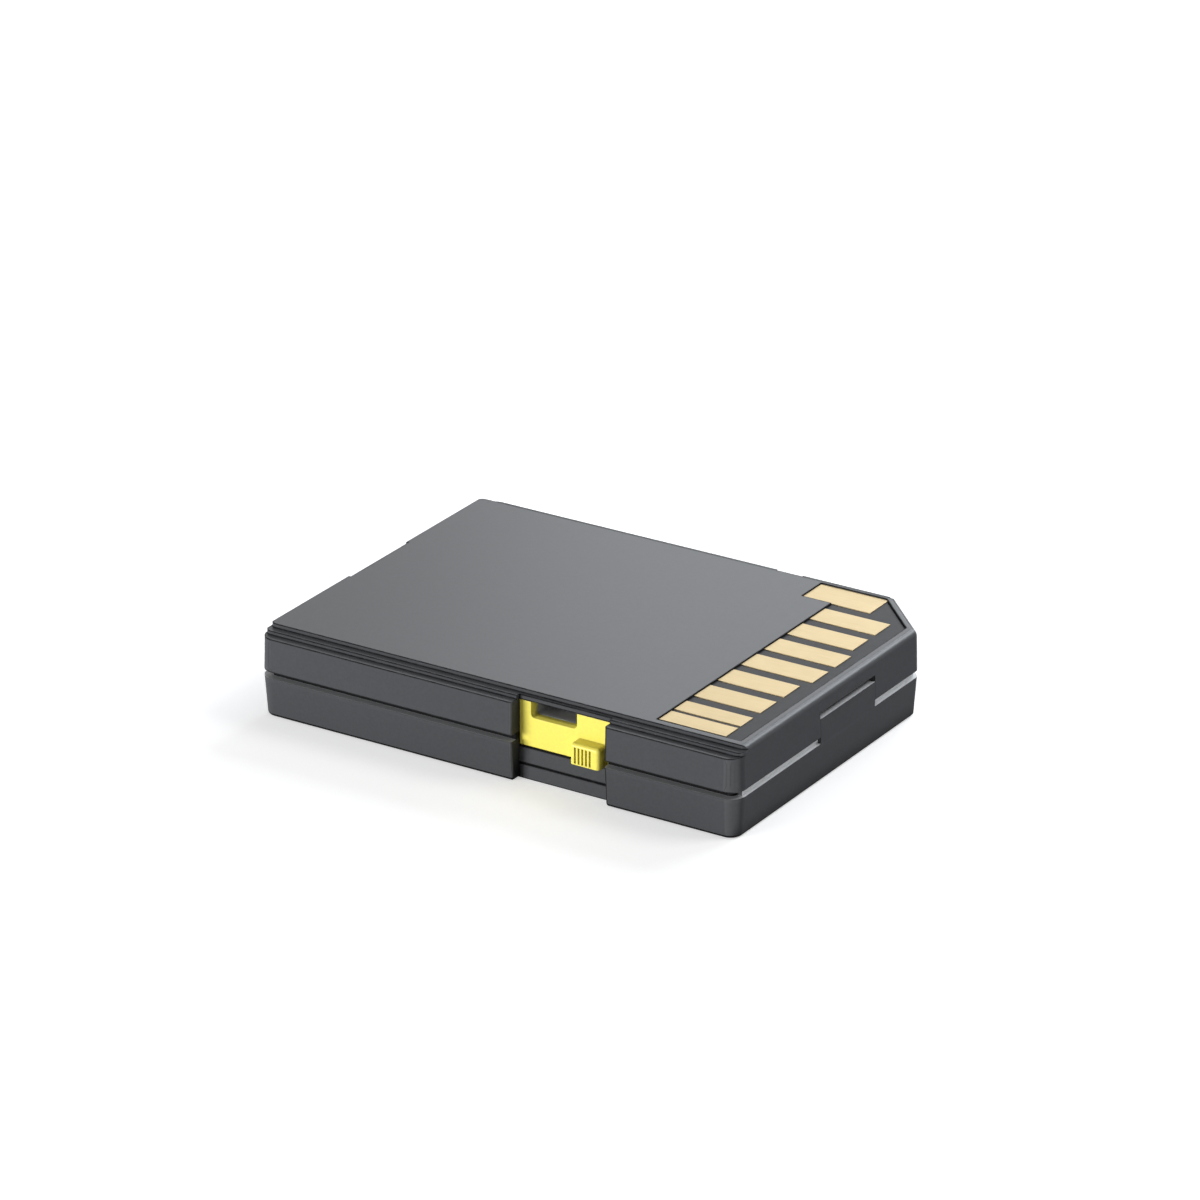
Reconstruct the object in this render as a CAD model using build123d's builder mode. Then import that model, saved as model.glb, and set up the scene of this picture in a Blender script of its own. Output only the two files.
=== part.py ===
from build123d import *

import os
from math import radians, sqrt, tan

# A memory card reader in the outline of a large memory card, lying flat with its contacts up.
# +X runs along the case to the contact end, -Y is the long side with the lock notch, +Z is up.
# The origin is the middle of the underside. All sizes are in millimetres.

# Case, measured at the seam where both halves are widest
case_length = 76.2
case_width = 57.8
case_height = 12.8
corner_radius = 2.2
key_corner = 10.05
key_corner_radius = 1.4
wall = 2.2
top_wall = 1.3
floor_wall = 1.4
upper_draft = 1.5
lower_draft = 4.0
foot_radius = 0.5
end_edge_radius = 1.0
soft_edge_radius = 0.18
inner_corner_radius = 0.8

# Seam channel between the halves
seam_floor = 5.85
seam_height = 0.95
seam_depth = 1.2
end_seam_depth = 0.5

# Two steps along each long edge of the top
rail_inset = 1.5
rail_drop = 0.55
tread_inset = 2.75
tread_drop = 0.61
step_corner_radius = 1.0

# Lock notch in the near side, and the small notch across from it
lock_notch_width = 14.6
lock_notch_depth = 2.1
lock_notch_from_end = 20.5
notch_edge_radius = 0.4
notch_rim = 2.08
notch_seam = 0.2
far_notch_width = 4.2
far_notch_depth = 1.4
far_notch_from_end = 24.1
far_notch_wall = 1.6

# Contact recess, its inlay and the gold pads
recess_depth = 0.55
recess_length = 12.95
recess_margin = 1.75
recess_near_margin = 3.85
recess_key_margin = 1.5
inlay_thickness = 0.3
inlay_gap = 0.05
pad_thickness = 0.1
pad_far_margin = 3.3
pad_near_gap = 0.47
key_pad_share = 1.235
key_pad_length = 10.7
key_pad_lead = 4.7
pad_length = 10.3
long_pad_length = 11.15
narrow_pad_share = 0.75
pad_gap = 1.91
narrow_pad_gap = 0.73
pad_edge_gap = 0.1

# Yellow bezel in the lock notch
bezel_height = 6.5
bezel_plate = 1.2
bezel_gap = 0.05
bezel_shadow_gap = 0.3
bezel_flange = 1.0
bezel_flange_lap = 1.3
bezel_rim = 0.8
bezel_beam = 0.75
apron_side_gap = 0.1

# Lock slider and its switch
slider_width = 4.62
slider_height = 3.02
slider_lift = 0.08
slider_end_gap = 0.8
slider_inset = 0.1
slider_travel = 2.0
slider_clearance = 0.1
slider_round = 0.45
slider_side_round = 0.55
rib_groove_width = 0.28
rib_groove_depth = 0.3
rib_groove_pitch = 0.58
rib_groove_count = 5
rib_groove_height = 2.35
rib_groove_lead = 0.85
rib_groove_foot = 0.18
neck_width = 1.6
neck_height = 0.9
neck_end_gap = 0.5
carrier_height = 1.5
carrier_wall = 0.55
carrier_end_gap = 0.2
carrier_depth = 1.5
carrier_web = 0.45
lever_width = 1.2
lever_height = 0.7
lever_tail = 1.1
switch_length = 6.6
switch_depth = 2.7
switch_height = 1.5
switch_gap = 0.7

# Circuit board
board_thickness = 1.0
board_gap = 0.5
board_bezel_gap = 0.1
peg_radius = 1.1
peg_clearance = 0.1
peg_reach = 1.5
boss_radius = 2.4
boss_from_end = 5.9
boss_from_side = 5.7

# Micro-B socket
usb_from_notch = 5.47
usb_inner_width = 6.9
usb_inner_height = 1.85
usb_sheet = 0.25
usb_depth = 5.4
usb_corner = 0.45
usb_top_gap = 0.05
usb_mouth_gap = 0.1
usb_bevel = 0.18
usb_bevel_depth = 0.6
usb_block_depth = 1.7
tongue_width = 3.7
tongue_thickness = 0.6
tongue_setback = 0.75
tongue_drop = 0.2
usb_pin_count = 5
usb_pin_pitch = 0.65
usb_pin_width = 0.3
usb_pin_thickness = 0.1
usb_pin_tail = 0.8
usb_pin_setback = 0.25

# Small-card socket behind the right end
micro_slot_width = 14.4
micro_slot_height = 0.95
micro_base = 0.35
micro_card_width = 11.2
micro_socket_length = 14.5
micro_socket_width = 13.8
micro_sheet = 0.2
micro_rear_wall = 1.0
micro_pin_count = 8
micro_pin_pitch = 1.1
micro_pin_width = 0.6
micro_pin_length = 6.0
micro_pin_rise = 0.4
tab_gap = 0.05

# Full-size card socket behind the left end
card_slot_width = 24.5
card_slot_height = 2.35
card_base = 0.35
card_socket_length = 26.5
card_socket_width = 28.0
card_sheet = 0.2
card_rear_wall = 1.2
card_pin_count = 9
card_pin_pitch = 2.5
card_pin_width = 1.2
card_pin_length = 7.0
card_pin_rise = 0.6
pin_thickness = 0.15
finger_relief_width = 14.4
finger_relief_depth = 0.6
socket_rest_width = 1.2
socket_rest_length = 16.0
socket_rest_spread = 16.0
socket_rest_gap = 0.1

# Ribs that keep the bezel against the case
bezel_rib_width = 1.2
bezel_rib_depth = 1.4
bezel_rib_lap = 1.6
bezel_rib_inset = 1.2

# Small parts on the board, placed from the rear end of the full-size socket
chip_size = 7.0
chip_height = 0.9
chip_place = (9.9, 5.0)
chip_bevel = 0.15
chip_dot_radius = 0.4
chip_dot_depth = 0.1
chip_dot_inset = 1.1
memory_length = 5.0
memory_width = 4.0
memory_height = 0.8
memory_place = (-3.1, 5.0)
crystal_length = 3.2
crystal_width = 2.5
crystal_height = 0.7
crystal_radius = 0.35
crystal_place = (19.4, 6.0)
capacitor_length = 1.6
capacitor_width = 0.8
capacitor_height = 0.8
capacitor_row = (8.9, 13.0)
resistor_length = 1.6
resistor_width = 0.8
resistor_height = 0.45
resistor_row = (8.9, -4.0)
small_part_pitch = 3.0
small_part_count = 6

# How far a cutting solid runs past the face it cuts
over = 1.0

# Places worked out from the sizes above
x_right = case_length / 2
x_left = -case_length / 2
y_near = -case_width / 2
y_far = case_width / 2
seam_top = seam_floor + seam_height
top_underside = case_height - top_wall
tread_level = case_height - tread_drop
rail_level = tread_level - rail_drop

inner_right = x_right - wall
inner_left = x_left + wall
inner_near = y_near + wall
inner_far = y_far - wall

notch_right = x_right - lock_notch_from_end
notch_left = notch_right - lock_notch_width
notch_middle = (notch_left + notch_right) / 2
notch_back = y_near + lock_notch_depth
notch_inner = notch_back + wall
far_notch_right = x_right - far_notch_from_end
far_notch_left = far_notch_right - far_notch_width
far_notch_back = y_far - far_notch_depth
far_notch_inner = far_notch_back - far_notch_wall

usb_height = usb_inner_height + 2 * usb_sheet
board_top = top_underside - usb_top_gap - usb_height
board_bottom = board_top - board_thickness
board_near = notch_inner + bezel_flange + board_bezel_gap
micro_floor = board_top + micro_base
micro_roof = micro_floor + micro_slot_height
card_roof = board_bottom - card_base
card_floor = card_roof - card_slot_height

bezel_top = top_underside - bezel_gap
bezel_bottom = bezel_top - bezel_height
apron_top = bezel_bottom - bezel_shadow_gap
apron_bottom = notch_rim + notch_seam
apron_left = notch_left - wall + apron_side_gap
apron_right = notch_right + wall - apron_side_gap
plate_back = notch_back + bezel_plate

pad_room = case_width - pad_far_margin - recess_near_margin - pad_near_gap
pad_width = (pad_room - 7 * pad_gap - narrow_pad_gap) / (key_pad_share + 6 + 2 * narrow_pad_share)
key_pad_width = pad_width * key_pad_share
narrow_pad_width = pad_width * narrow_pad_share

boss_places = [
    (inner_left + boss_from_end, inner_near + boss_from_side),
    (inner_left + boss_from_end, inner_far - boss_from_side),
    (inner_right - boss_from_end, inner_near + boss_from_side),
    (inner_right - key_corner, inner_far - boss_from_side),
]


def block(low, high, mode=Mode.ADD):
    """A box in the part being built, given by its lowest and highest corners."""
    size = Vector(*high) - Vector(*low)
    with Locations((Vector(*low) + Vector(*high)) / 2):
        Box(size.X, size.Y, size.Z, mode=mode)


def post(place, bottom, top, radius, mode=Mode.ADD):
    """An upright cylinder in the part being built."""
    with Locations((place[0], place[1], (bottom + top) / 2)):
        Cylinder(radius, top - bottom, mode=mode)


def save(part, name):
    """Label a finished piece and write it to its own file."""
    part.label = name
    export_step(part, f"parts/{name}.step")


def card_outline(level, inset, radius, key_radius):
    """The card's outline with its cut corner, moved inwards by inset, at a height."""
    right = x_right - inset
    far = y_far - inset
    cut = key_corner - inset * (2 - sqrt(2))
    corners = [(-right, -far), (right, -far), (right, far - cut), (right - cut, far), (-right, far)]
    radii = [radius, radius, key_radius, key_radius, radius]
    with BuildSketch(Plane.XY.offset(level)) as outline:
        with BuildLine():
            FilletPolyline(*corners, radius=radii, close=True)
        make_face()
    return outline.sketch


def rounded_upper(radius, from_x, to_x):
    """A length of the upper case as a solid, its top edge rounded by radius."""
    with BuildPart() as length:
        extrude(
            card_outline(seam_top, 0, corner_radius, key_corner_radius),
            amount=case_height - seam_top,
            taper=upper_draft,
        )
        fillet(length.faces().sort_by(Axis.Z)[-1].edges(), radius)
        block((from_x, y_near - over, 0), (to_x, y_far + over, case_height + over), Mode.INTERSECT)
    return length.part


def end_lip():
    """The stretch of the lower half's lip that comes nearest the outside: contact end and cut corner."""
    with BuildPart() as lip:
        near_radius = corner_radius - end_seam_depth
        key_radius = key_corner_radius - end_seam_depth
        extrude(card_outline(seam_floor, end_seam_depth, near_radius, key_radius), amount=seam_height)
        block(
            (x_right - key_corner, y_near + corner_radius, seam_floor - over),
            (x_right + over, y_far + over, seam_top + over),
            Mode.INTERSECT,
        )
    return lip.part


def step_outline(level, inset):
    """What a step takes off along both long edges, leaving a middle with rounded corners."""
    lean = (level - seam_top) * tan(radians(upper_draft))
    with BuildSketch(Plane.XY.offset(level)) as strips:
        Rectangle(case_length + over, case_width + over)
        kept_width = case_width - 2 * inset
        RectangleRounded(case_length - 2 * lean, kept_width, step_corner_radius, mode=Mode.SUBTRACT)
        Rectangle(case_length + 2 * over, kept_width - 2 * step_corner_radius, mode=Mode.SUBTRACT)
    return strips.sketch


def cavity_outline(level):
    """The room inside the walls, with the walls of both side notches left standing."""
    with BuildSketch(Plane.XY.offset(level)) as room:
        add(card_outline(0, wall, inner_corner_radius, inner_corner_radius))
        with Locations((notch_middle, (y_near + notch_inner) / 2)):
            Rectangle(lock_notch_width + 2 * wall, notch_inner - y_near, mode=Mode.SUBTRACT)
        with Locations(((far_notch_left + far_notch_right) / 2, (y_far + far_notch_inner) / 2)):
            Rectangle(far_notch_width + 2 * wall, y_far - far_notch_inner, mode=Mode.SUBTRACT)
    return room.sketch


def contact_outline(level, gap):
    """The contact recess: a field behind the right end, with a pocket for the key pad."""
    right = x_right - recess_margin
    left = right - recess_length
    near = y_near + recess_near_margin
    far = y_far - pad_far_margin + pad_edge_gap
    key_line = x_right + y_far - key_corner - recess_key_margin * sqrt(2)
    pocket_left = left - key_pad_lead
    pocket_near = y_far - pad_far_margin - key_pad_width - pad_edge_gap
    corners = [
        (left, near),
        (right, near),
        (right, key_line - right),
        (key_line - far, far),
        (pocket_left, far),
        (pocket_left, pocket_near),
        (left, pocket_near),
    ]
    with BuildSketch(Plane.XY.offset(level)) as field:
        with BuildLine():
            Polyline(*corners, close=True)
        make_face()
        if gap > 0:
            offset(amount=-gap, kind=Kind.INTERSECTION, mode=Mode.REPLACE)
    return field.sketch


def cut_side_notches():
    """Cut the lock notch and the small far notch through the part being built."""
    block(
        (notch_left, y_near - over, -over),
        (notch_right, notch_back, case_height + over),
        mode=Mode.SUBTRACT,
    )
    block(
        (far_notch_left, far_notch_back, -over),
        (far_notch_right, y_far + over, case_height + over),
        mode=Mode.SUBTRACT,
    )


def round_notch_edges(case):
    """Round the upright outer edges of the lock notch."""
    outer_edges = case.edges().filter_by_position(Axis.Y, y_near - over, y_near + notch_edge_radius)
    for edge_x in (notch_left, notch_right):
        upright = outer_edges.filter_by_position(Axis.X, edge_x - bezel_gap, edge_x + bezel_gap)
        fillet(upright, notch_edge_radius)


def cut_card_slot():
    """Cut the full-size card's slot through the left wall of the part being built."""
    block(
        (x_left - over, -card_slot_width / 2, card_floor),
        (inner_left + over, card_slot_width / 2, card_roof),
        mode=Mode.SUBTRACT,
    )


os.makedirs("parts", exist_ok=True)

# Upper case half, its top edge rounder at the contact end
with BuildPart() as upper_case:
    add(rounded_upper(end_edge_radius, 0, x_right + over))
    add(rounded_upper(soft_edge_radius, x_left - over, 0))
    for inset, level in ((rail_inset, rail_level), (tread_inset, tread_level)):
        extrude(step_outline(level, inset), amount=case_height + over - level, mode=Mode.SUBTRACT)
    extrude(cavity_outline(seam_top), amount=top_underside - seam_top, mode=Mode.SUBTRACT)
    for place in boss_places:
        post(place, board_top, top_underside, boss_radius)
        bore_top = board_top + peg_reach + peg_clearance
        post(place, board_top, bore_top, peg_radius + peg_clearance, Mode.SUBTRACT)
    cut_side_notches()
    round_notch_edges(upper_case)
    block((apron_left, notch_back, apron_bottom), (apron_right, notch_inner, seam_top))
    block(
        (notch_left, notch_back - over, apron_top),
        (notch_right, notch_inner + over, top_underside),
        mode=Mode.SUBTRACT,
    )
    block(
        (inner_right - over, -micro_slot_width / 2 - tab_gap, seam_top - over),
        (x_right + over, micro_slot_width / 2 + tab_gap, micro_roof),
        mode=Mode.SUBTRACT,
    )
    cut_card_slot()
    block(
        (x_left - over, -finger_relief_width / 2, card_roof - over),
        (x_left + finger_relief_depth, finger_relief_width / 2, case_height + over),
        mode=Mode.SUBTRACT,
    )
    extrude(contact_outline(case_height, 0), amount=-recess_depth, mode=Mode.SUBTRACT)
save(upper_case.part, "upper_case")

# Lower case half, with the raised tab that forms the floor of the small-card slot
with BuildPart() as lower_case:
    extrude(
        card_outline(seam_floor, 0, corner_radius, key_corner_radius),
        amount=-seam_floor,
        taper=lower_draft,
    )
    fillet(lower_case.faces().sort_by(Axis.Z)[0].edges(), foot_radius)
    extrude(
        card_outline(seam_floor, seam_depth, corner_radius - seam_depth, inner_corner_radius),
        amount=seam_height,
    )
    add(end_lip())
    extrude(cavity_outline(floor_wall), amount=seam_top - floor_wall, mode=Mode.SUBTRACT)
    tab_lean = (micro_floor - seam_top) * tan(radians(upper_draft))
    with BuildSketch(Plane.XZ.offset(-micro_slot_width / 2)):
        with BuildLine():
            Polyline(
                (inner_right, seam_floor),
                (x_right, seam_floor),
                (x_right, seam_top),
                (x_right - tab_lean, micro_floor),
                (inner_right, micro_floor),
                close=True,
            )
        make_face()
    extrude(amount=micro_slot_width)
    for place in boss_places:
        post(place, floor_wall, board_bottom, boss_radius)
        post(place, board_bottom, board_top + peg_reach, peg_radius)
    for side in (-1, 1):
        rest_y = side * socket_rest_spread / 2
        rest_x = inner_left + card_socket_length / 2
        rest_top = card_floor - card_sheet - socket_rest_gap
        block(
            (rest_x - socket_rest_length / 2, rest_y - socket_rest_width / 2, floor_wall),
            (rest_x + socket_rest_length / 2, rest_y + socket_rest_width / 2, rest_top),
        )
    for rib_x in (notch_left + bezel_rib_inset, notch_right - bezel_rib_inset):
        rib_top = bezel_bottom - bezel_flange_lap + bezel_rib_lap
        block(
            (rib_x - bezel_rib_width / 2, board_near, floor_wall),
            (rib_x + bezel_rib_width / 2, board_near + bezel_rib_depth, rib_top),
        )
    cut_side_notches()
    round_notch_edges(lower_case)
    block(
        (apron_left - apron_side_gap, notch_back - apron_side_gap, notch_rim),
        (apron_right + apron_side_gap, notch_inner, seam_top + over),
        mode=Mode.SUBTRACT,
    )
    cut_card_slot()
save(lower_case.part, "lower_case")

# Contact inlay and its gold pads
recess_floor = case_height - recess_depth
with BuildPart() as contact_inlay:
    extrude(contact_outline(recess_floor, inlay_gap), amount=inlay_thickness)
save(contact_inlay.part, "contact_inlay")

recess_left = x_right - recess_margin - recess_length
pad_level = recess_floor + inlay_thickness
pad_left = recess_left + pad_edge_gap
pad_sizes = [(key_pad_length, key_pad_width, pad_gap)]
pad_sizes += [(pad_length, pad_width, pad_gap)] * 2
pad_sizes += [(long_pad_length, pad_width, pad_gap)] * 2
pad_sizes += [(pad_length, pad_width, pad_gap)] * 2
pad_sizes += [(pad_length, narrow_pad_width, narrow_pad_gap)] * 2
pad_far = y_far - pad_far_margin
for number, (length, width, gap_after) in enumerate(pad_sizes, start=1):
    start_x = pad_left - key_pad_lead if number == 1 else pad_left
    with BuildPart() as contact_pad:
        block((start_x, pad_far - width, pad_level), (start_x + length, pad_far, pad_level + pad_thickness))
    save(contact_pad.part, f"contact_pad_{number}")
    pad_far -= width + gap_after

# Yellow bezel: a plate in the notch with a flange behind the wall, and a bevelled opening for the plug
usb_x = notch_left + usb_from_notch
usb_floor = board_top + usb_sheet
flange_back = notch_inner + bezel_flange
slider_right = notch_right - slider_end_gap
slider_left = slider_right - slider_width
slider_bottom = bezel_bottom + slider_lift
lever_middle = board_bottom - switch_height / 2
lever_x = slider_right - carrier_end_gap - carrier_wall - lever_width / 2 - slider_clearance
neck_right = slider_right - neck_end_gap
neck_left = neck_right - neck_width


def usb_section(plane, width, height, lift, radius):
    """A plug opening, square at its top and round at its lower corners, standing on lift."""
    with BuildSketch(plane) as section:
        with Locations((usb_x, lift + height / 2)):
            Rectangle(width, height)
        fillet(section.vertices().group_by(Axis.Z)[0], radius)
    return section.sketch


with BuildPart() as side_bezel:
    block(
        (notch_left + bezel_gap, notch_back, bezel_bottom),
        (notch_right - bezel_gap, flange_back, bezel_top),
    )
    block(
        (notch_left - bezel_flange_lap, notch_inner, bezel_bottom - bezel_flange_lap),
        (notch_right + bezel_flange_lap, flange_back, bezel_top),
    )
    block(
        (notch_left + bezel_rim, plate_back, bezel_bottom + bezel_beam),
        (notch_right - bezel_rim, flange_back + over, bezel_top + over),
        mode=Mode.SUBTRACT,
    )
    opening_height = bezel_top + over - usb_floor
    plate_plane = Plane.XZ.offset(-notch_back)
    extrude(
        usb_section(plate_plane, usb_inner_width, opening_height, usb_floor, usb_corner),
        amount=-bezel_plate,
        mode=Mode.SUBTRACT,
    )
    loft(
        [
            usb_section(
                plate_plane,
                usb_inner_width + 2 * usb_bevel,
                opening_height + usb_bevel,
                usb_floor - usb_bevel,
                usb_corner + usb_bevel,
            ).face(),
            usb_section(
                plate_plane.offset(-usb_bevel_depth),
                usb_inner_width,
                opening_height,
                usb_floor,
                usb_corner,
            ).face(),
        ],
        mode=Mode.SUBTRACT,
    )
    slot_reach = neck_height / 2 + slider_clearance
    block(
        (neck_left - slider_travel - slider_clearance, notch_back - over, lever_middle - slot_reach),
        (neck_right + slider_clearance, plate_back + over, lever_middle + slot_reach),
        mode=Mode.SUBTRACT,
    )
save(side_bezel.part, "side_bezel")

# Lock slider: a ribbed thumb piece, a neck through the bezel and a carrier that holds the switch lever
slider_front = y_near + slider_inset
slider_back = notch_back - slider_clearance
carrier_front = plate_back + slider_clearance
carrier_back = carrier_front + carrier_depth
with BuildPart() as lock_slider:
    block(
        (slider_left, slider_front, slider_bottom),
        (slider_right, slider_back, slider_bottom + slider_height),
    )
    front_edges = lock_slider.faces().sort_by(Axis.Y)[0].edges()
    fillet(front_edges.filter_by(Axis.Z), slider_side_round)
    fillet(lock_slider.faces().sort_by(Axis.Y)[0].edges().filter_by(Axis.X).sort_by(Axis.Z)[-1], slider_round)
    for groove in range(rib_groove_count):
        groove_x = slider_left + rib_groove_lead + groove * rib_groove_pitch
        block(
            (groove_x - rib_groove_width / 2, slider_front - over, slider_bottom + rib_groove_foot),
            (
                groove_x + rib_groove_width / 2,
                slider_front + rib_groove_depth,
                slider_bottom + rib_groove_foot + rib_groove_height,
            ),
            mode=Mode.SUBTRACT,
        )
    block(
        (neck_left, slider_back, lever_middle - neck_height / 2),
        (neck_right, carrier_front, lever_middle + neck_height / 2),
    )
    fork_reach = lever_width / 2 + slider_clearance
    carrier_reach = fork_reach + carrier_wall
    block(
        (lever_x - carrier_reach, carrier_front, lever_middle - carrier_height / 2),
        (lever_x + carrier_reach, carrier_back, lever_middle + carrier_height / 2),
    )
    block(
        (lever_x - fork_reach, carrier_front + carrier_web, lever_middle - carrier_height),
        (lever_x + fork_reach, carrier_back + over, lever_middle + carrier_height),
        mode=Mode.SUBTRACT,
    )
save(lock_slider.part, "lock_slider")

# Slide switch under the board, with its lever in the slider's carrier
switch_front = carrier_back + switch_gap
switch_x = lever_x - slider_travel / 2
lever_front = carrier_front + carrier_web + slider_clearance
lever_back = switch_front + lever_tail
with BuildPart() as lock_switch_body:
    block(
        (switch_x - switch_length / 2, switch_front, board_bottom - switch_height),
        (switch_x + switch_length / 2, switch_front + switch_depth, board_bottom),
    )
    lever_room = (lever_width + slider_travel) / 2 + slider_clearance
    lever_reach = lever_height / 2 + slider_clearance
    block(
        (switch_x - lever_room, switch_front - over, lever_middle - lever_reach),
        (switch_x + lever_room, lever_back + slider_clearance, lever_middle + lever_reach),
        mode=Mode.SUBTRACT,
    )
save(lock_switch_body.part, "lock_switch_body")

with BuildPart() as lock_switch_lever:
    block(
        (lever_x - lever_width / 2, lever_front, lever_middle - lever_height / 2),
        (lever_x + lever_width / 2, lever_back, lever_middle + lever_height / 2),
    )
save(lock_switch_lever.part, "lock_switch_lever")

# Circuit board, with holes for the pegs and a cut-out behind each notch
with BuildPart() as circuit_board:
    extrude(
        card_outline(board_bottom, wall + board_gap, inner_corner_radius, inner_corner_radius),
        amount=board_thickness,
    )
    block(
        (notch_left - wall - board_gap, y_near, board_bottom - over),
        (notch_right + wall + board_gap, board_near, board_top + over),
        mode=Mode.SUBTRACT,
    )
    block(
        (far_notch_left - wall - board_gap, far_notch_inner - board_gap, board_bottom - over),
        (far_notch_right + wall + board_gap, y_far, board_top + over),
        mode=Mode.SUBTRACT,
    )
    for place in boss_places:
        post(place, board_bottom - over, board_top + over, peg_radius + peg_clearance, Mode.SUBTRACT)
save(circuit_board.part, "circuit_board")

# Micro-B socket: folded shell, insulator with its tongue, and the row of contacts
usb_mouth = plate_back + usb_mouth_gap
usb_rear = usb_mouth + usb_depth
mouth_plane = Plane.XZ.offset(-usb_mouth)
with BuildPart() as usb_shell:
    usb_width = usb_inner_width + 2 * usb_sheet
    extrude(
        usb_section(mouth_plane, usb_width, usb_height, board_top, usb_corner + usb_sheet),
        amount=-usb_depth,
    )
    extrude(
        usb_section(mouth_plane, usb_inner_width, usb_inner_height, usb_floor, usb_corner),
        amount=-usb_depth,
        mode=Mode.SUBTRACT,
    )
save(usb_shell.part, "usb_shell")

tongue_top = usb_floor + usb_inner_height - tongue_drop
tongue_underside = tongue_top - tongue_thickness
pin_left = usb_x - usb_pin_pitch * (usb_pin_count - 1) / 2
pin_tail_front = usb_rear + usb_pin_setback


def usb_pin(pin_x, mode=Mode.ADD):
    """One contact: along the tongue's underside, out of the back and down to the board."""
    low_x = pin_x - usb_pin_width / 2
    high_x = pin_x + usb_pin_width / 2
    tail_back = pin_tail_front + usb_pin_thickness
    tail_end = tail_back + usb_pin_tail
    block(
        (low_x, usb_mouth + tongue_setback + usb_pin_setback, tongue_underside),
        (high_x, tail_back, tongue_underside + usb_pin_thickness),
        mode,
    )
    block((low_x, pin_tail_front, board_top), (high_x, tail_back, tongue_underside), mode)
    block((low_x, tail_back, board_top), (high_x, tail_end, board_top + usb_pin_thickness), mode)


with BuildPart() as usb_insulator:
    extrude(
        usb_section(Plane.XZ.offset(-usb_rear), usb_inner_width, usb_inner_height, usb_floor, usb_corner),
        amount=usb_block_depth,
    )
    block(
        (usb_x - tongue_width / 2, usb_mouth + tongue_setback, tongue_underside),
        (usb_x + tongue_width / 2, usb_rear - usb_block_depth, tongue_top),
    )
    for pin in range(usb_pin_count):
        usb_pin(pin_left + pin * usb_pin_pitch, Mode.SUBTRACT)
save(usb_insulator.part, "usb_insulator")

with BuildPart() as usb_contacts:
    for pin in range(usb_pin_count):
        usb_pin(pin_left + pin * usb_pin_pitch)
save(usb_contacts.part, "usb_contacts")


def card_contact(tip_x, root_x, middle_y, width, root_z, tip_z):
    """A sprung contact finger that rises from its root on the socket's base to its tip."""
    with BuildSketch(Plane.XZ.offset(-middle_y - width / 2)) as finger:
        lift = pin_thickness if tip_z > root_z else -pin_thickness
        with BuildLine():
            Polyline(
                (root_x, root_z),
                (root_x, root_z + lift),
                (tip_x, tip_z + lift),
                (tip_x, tip_z),
                close=True,
            )
        make_face()
    return finger.sketch


# Small-card socket on top of the board
micro_front = x_right - wall - board_gap
micro_rear = micro_front - micro_socket_length
micro_half = micro_socket_width / 2
with BuildPart() as micro_socket_frame:
    block((micro_rear, -micro_half, board_top), (micro_front, micro_half, micro_floor))
    block((micro_rear, -micro_half, micro_floor), (micro_rear + micro_rear_wall, micro_half, micro_roof))
    for side in (-1, 1):
        rail_low, rail_high = sorted((side * micro_card_width / 2, side * micro_half))
        block((micro_rear, rail_low, micro_floor), (micro_front, rail_high, micro_roof))
save(micro_socket_frame.part, "micro_socket_frame")

with BuildPart() as micro_socket_cover:
    block(
        (micro_rear, -micro_half - micro_sheet, board_top),
        (micro_front, micro_half + micro_sheet, micro_roof + micro_sheet),
    )
    block(
        (micro_rear - over, -micro_half, board_top - over),
        (micro_front + over, micro_half, micro_roof),
        mode=Mode.SUBTRACT,
    )
save(micro_socket_cover.part, "micro_socket_cover")

micro_root = micro_rear + micro_rear_wall
with BuildPart() as micro_socket_contacts:
    for pin in range(micro_pin_count):
        pin_y = (pin - (micro_pin_count - 1) / 2) * micro_pin_pitch
        extrude(
            card_contact(
                micro_root + micro_pin_length,
                micro_root,
                pin_y,
                micro_pin_width,
                micro_floor,
                micro_floor + micro_pin_rise,
            ),
            amount=-micro_pin_width,
        )
save(micro_socket_contacts.part, "micro_socket_contacts")

# Full-size card socket under the board
card_front = x_left + wall + board_gap
card_rear = card_front + card_socket_length
card_half = card_socket_width / 2
with BuildPart() as card_socket_frame:
    block((card_front, -card_half, card_roof), (card_rear, card_half, board_bottom))
    block((card_rear - card_rear_wall, -card_half, card_floor), (card_rear, card_half, card_roof))
    for side in (-1, 1):
        rail_low, rail_high = sorted((side * card_slot_width / 2, side * card_half))
        block((card_front, rail_low, card_floor), (card_rear, rail_high, card_roof))
save(card_socket_frame.part, "card_socket_frame")

with BuildPart() as card_socket_cover:
    block(
        (card_front, -card_half - card_sheet, card_floor - card_sheet),
        (card_rear, card_half + card_sheet, board_bottom),
    )
    block(
        (card_front - over, -card_half, card_floor),
        (card_rear + over, card_half, board_bottom + over),
        mode=Mode.SUBTRACT,
    )
save(card_socket_cover.part, "card_socket_cover")

card_root = card_rear - card_rear_wall
with BuildPart() as card_socket_contacts:
    for pin in range(card_pin_count):
        pin_y = (pin - (card_pin_count - 1) / 2) * card_pin_pitch
        extrude(
            card_contact(
                card_root - card_pin_length,
                card_root,
                pin_y,
                card_pin_width,
                card_roof,
                card_roof - card_pin_rise,
            ),
            amount=-card_pin_width,
        )
save(card_socket_contacts.part, "card_socket_contacts")

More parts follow.
